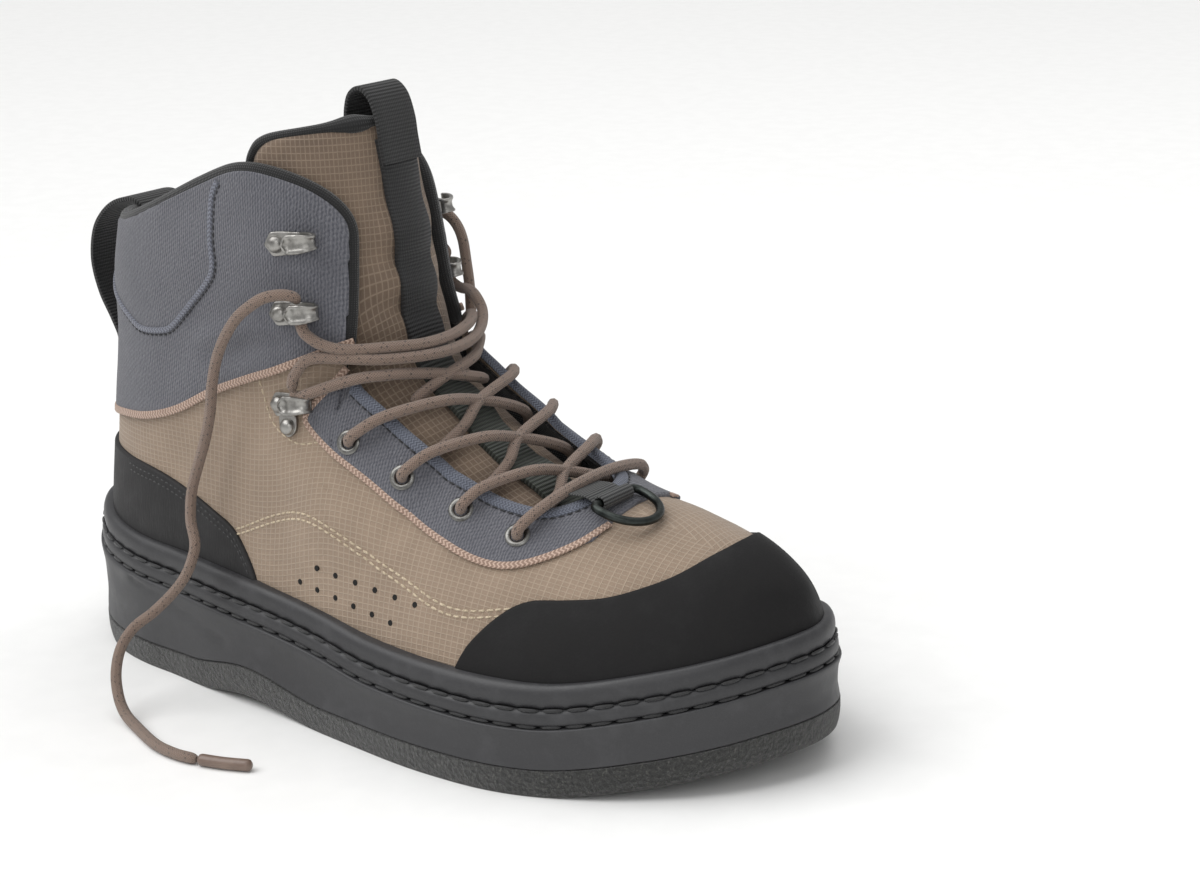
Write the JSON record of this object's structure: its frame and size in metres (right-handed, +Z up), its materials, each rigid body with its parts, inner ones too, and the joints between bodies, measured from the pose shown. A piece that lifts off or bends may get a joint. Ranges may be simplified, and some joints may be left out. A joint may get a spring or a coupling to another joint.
{
  "type": "wading boot",
  "caption": "Lace-up wading boot with felt sole, double welt, rubber toe cap and counter, ripstop upper, padded tongue, pull loops, lacing hooks and a hinged D-ring.",
  "frame": {"origin": "on the ground under the middle of the sole", "axes": "+X to the toe, +Y to the inner (medial) side, +Z up"},
  "size_m": [0.322, 0.1642, 0.2232],
  "materials": {
    "felt": "coarse matted felt",
    "sole_rubber": "matte charcoal",
    "toe_rubber": "matte black",
    "counter_rubber": "fine vertical grain",
    "lining": "black knit",
    "tan_cloth": "tan ripstop weave",
    "grey_cloth": "blue-grey ripstop weave",
    "webbing": "ribbed webbing",
    "lace": "round braid",
    "nickel": "satin nickel",
    "gunmetal": "satin gunmetal"
  },
  "bodies": {
    "boot": {"outsole_felt": "felt", "midsole": "sole_rubber", "welt_lower": "sole_rubber", "welt_upper": "sole_rubber", "insole": "lining", "upper": "tan_cloth", "toe_cap": "toe_rubber", "heel_counter": "counter_rubber", "eyestay": "grey_cloth", "cuff": "grey_cloth", "tongue": "tan_cloth", "tongue_webbing": "webbing", "heel_pull_loop": "webbing", "ring_tab": "webbing", "lock_hook_lateral": "nickel", "speed_hook_low_lateral": "nickel", "speed_hook_top_lateral": "nickel", "lock_hook_medial": "nickel", "speed_hook_low_medial": "nickel", "speed_hook_top_medial": "nickel", "eyelet_lateral_1": "nickel", "eyelet_lateral_2": "nickel", "eyelet_lateral_3": "nickel", "eyelet_lateral_4": "nickel", "eyelet_medial_1": "nickel", "eyelet_medial_2": "nickel", "eyelet_medial_3": "nickel", "eyelet_medial_4": "nickel", "lace_cross_1": "lace", "lace_cross_2": "lace", "lace_cross_3": "lace", "lace_bar": "lace", "lace_cross_hooks": "lace", "lace_ankle_bars": "lace", "lace_free_end": "lace", "lace_aglet": "lace", "lace_loop": "lace"},
    "ring": {"d_ring": "gunmetal"}
  },
  "joints": [
    {"name": "ring_hinge", "type": "hinge", "parent": "boot", "child": "ring", "pos_m": [0.0875, -0.004, 0.09035], "axis": [0, -1, 0], "range_deg": [0, 140]}
  ]
}
